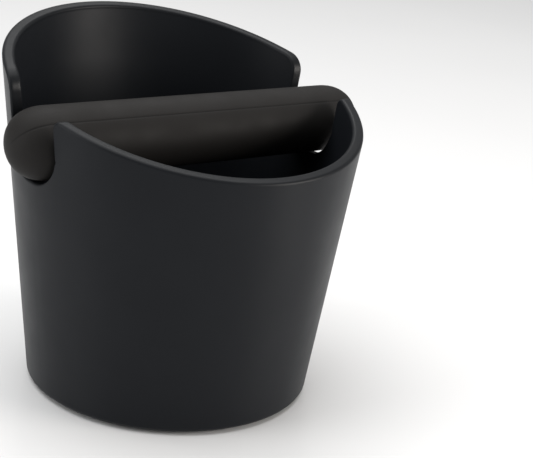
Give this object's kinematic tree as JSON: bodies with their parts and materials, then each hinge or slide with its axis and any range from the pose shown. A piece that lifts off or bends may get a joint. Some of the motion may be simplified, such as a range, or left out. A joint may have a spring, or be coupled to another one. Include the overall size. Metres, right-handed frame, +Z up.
{
  "type": "espresso knock box",
  "caption": "Small tapered plastic bucket with a slanting rim and a rubber-covered bar across it, lying in open slots, for knocking spent coffee out of a filter holder.",
  "frame": {"origin": "middle of the non-slip pad's underside, on the worktop", "axes": "+Z up, X along the knock bar, -Y toward the low front of the rim and +Y toward its high back"},
  "size_m": [0.1542, 0.136, 0.1359],
  "materials": {
    "bucket_plastic": "satin",
    "pad_rubber": "matt",
    "core_steel": "drawn bar",
    "bar_rubber": "matt"
  },
  "bodies": {
    "bucket": {"bucket": "bucket_plastic", "base_pad": "pad_rubber"},
    "bar_core": {"bar_core": "core_steel"},
    "bar": {"bar_sleeve": "bar_rubber"}
  },
  "joints": [
    {"name": "bar_lift", "type": "slide", "parent": "bucket", "child": "bar_core", "axis": [0, 0, 1], "range_m": [0, 0.06]},
    {"name": "bar_roll", "type": "hinge", "parent": "bar_core", "child": "bar", "pos_m": [0.0034, 0, 0.0999], "axis": [1, 0, 0], "continuous": true}
  ]
}
